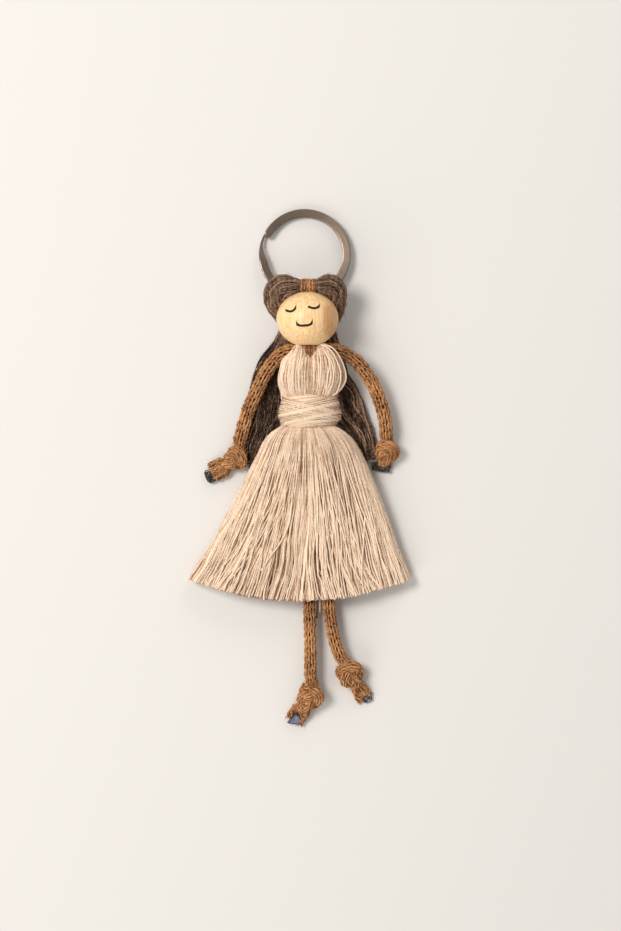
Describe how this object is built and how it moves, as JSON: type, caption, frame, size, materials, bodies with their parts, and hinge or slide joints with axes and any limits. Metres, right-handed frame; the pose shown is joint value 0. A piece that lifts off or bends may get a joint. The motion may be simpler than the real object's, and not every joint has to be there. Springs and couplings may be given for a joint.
{
  "type": "yarn doll key ring",
  "caption": "Small yarn doll lying on its back: bead head, wool hair, cord limbs, string dress and a split ring.",
  "frame": {"origin": "on the flat underside of the skirt, under the doll's middle line, at table height", "axes": "+Z out of the doll's face, +Y from the feet to the ring, +X towards the right of the picture"},
  "size_m": [0.0722, 0.1701, 0.024],
  "materials": {
    "ring_steel": "nickel-plated flat spring wire, light scuffs",
    "bead_wood": "turned pale wood, satin, inked face",
    "hair_wool": "loose spun dark brown wool",
    "cord_caramel": "knitted caramel cord",
    "dress_cotton": "fine twisted cream cotton string",
    "melted_cord_end": "cord end melted to a hard black bead"
  },
  "bodies": {
    "torso": {"hanger_loop": "cord_caramel", "neck_cord": "cord_caramel", "hair_hank": "hair_wool", "hair_bun_left": "hair_wool", "hair_bun_right": "hair_wool", "hair_fall_left": "hair_wool", "hair_fall_right": "hair_wool", "bodice_front_left": "dress_cotton", "bodice_front_right": "dress_cotton", "bodice_back": "dress_cotton", "shoulder_cord": "cord_caramel", "torso_cord_left": "cord_caramel", "torso_cord_right": "cord_caramel", "waist_core": "dress_cotton", "waist_wrap": "dress_cotton", "skirt_front": "dress_cotton", "skirt_back": "dress_cotton", "skirt_left": "dress_cotton", "skirt_right": "dress_cotton"},
    "head": {"head_bead": "bead_wood"},
    "bight": {"ring_bight": "cord_caramel"},
    "ring": {"split_ring": "ring_steel"},
    "upper_arm_left": {"upper_arm_left": "cord_caramel"},
    "forearm_left": {"forearm_left": "cord_caramel", "hand_left_knot": "cord_caramel", "hand_left_tail": "cord_caramel", "hand_left_tip": "melted_cord_end"},
    "thigh_left": {"thigh_left": "cord_caramel"},
    "shin_left": {"shin_left": "cord_caramel", "foot_left_knot": "cord_caramel", "foot_left_tail": "cord_caramel", "foot_left_tip": "melted_cord_end"},
    "upper_arm_right": {"upper_arm_right": "cord_caramel"},
    "forearm_right": {"forearm_right": "cord_caramel", "hand_right_knot": "cord_caramel", "hand_right_tail": "cord_caramel", "hand_right_tip": "melted_cord_end"},
    "thigh_right": {"thigh_right": "cord_caramel"},
    "shin_right": {"shin_right": "cord_caramel", "foot_right_knot": "cord_caramel", "foot_right_tail": "cord_caramel", "foot_right_tip": "melted_cord_end"}
  },
  "joints": [
    {"name": "ring_swing", "type": "hinge", "parent": "torso", "child": "bight", "pos_m": [0, 0.05627, 0.00375], "axis": [1, 0, 0], "range_deg": [-105, 30]},
    {"name": "ring_turn", "type": "hinge", "parent": "bight", "child": "ring", "pos_m": [-0.0009, 0.0699, 0.00245], "axis": [0, 0.0944, 0.9955], "continuous": true},
    {"name": "head_turn", "type": "hinge", "parent": "torso", "child": "head", "pos_m": [0, 0.0481, 0.014], "axis": [0, 1, 0], "continuous": true},
    {"name": "shoulder_left", "type": "hinge", "parent": "torso", "child": "upper_arm_left", "pos_m": [-0.0092, 0.0382, 0.0092], "axis": [0, 0, -1], "range_deg": [0, 90]},
    {"name": "elbow_left", "type": "hinge", "parent": "upper_arm_left", "child": "forearm_left", "pos_m": [-0.01635, 0.0244, 0.0058], "axis": [-0.9424, 0.3345, 0], "range_deg": [0, 105]},
    {"name": "shoulder_right", "type": "hinge", "parent": "torso", "child": "upper_arm_right", "pos_m": [0.0112, 0.0382, 0.0092], "axis": [0, 0, 1], "range_deg": [0, 90]},
    {"name": "elbow_right", "type": "hinge", "parent": "upper_arm_right", "child": "forearm_right", "pos_m": [0.02205, 0.0254, 0.0058], "axis": [-0.9772, -0.2123, 0], "range_deg": [0, 105]},
    {"name": "hip_left", "type": "hinge", "parent": "torso", "child": "thigh_left", "pos_m": [-0.0021, 0.0109, 0.0086], "axis": [0, 0, -1], "range_deg": [0, 8]},
    {"name": "knee_left", "type": "hinge", "parent": "thigh_left", "child": "shin_left", "pos_m": [0.00055, -0.0453, 0.0047], "axis": [-0.9997, -0.0238, 0], "range_deg": [-90, 90]},
    {"name": "hip_right", "type": "hinge", "parent": "torso", "child": "thigh_right", "pos_m": [0.00295, 0.0109, 0.0086], "axis": [0, 0, 1], "range_deg": [0, 8]},
    {"name": "knee_right", "type": "hinge", "parent": "thigh_right", "child": "shin_right", "pos_m": [0.00695, -0.0453, 0.0047], "axis": [-0.9486, -0.3165, 0], "range_deg": [-90, 90]}
  ]
}
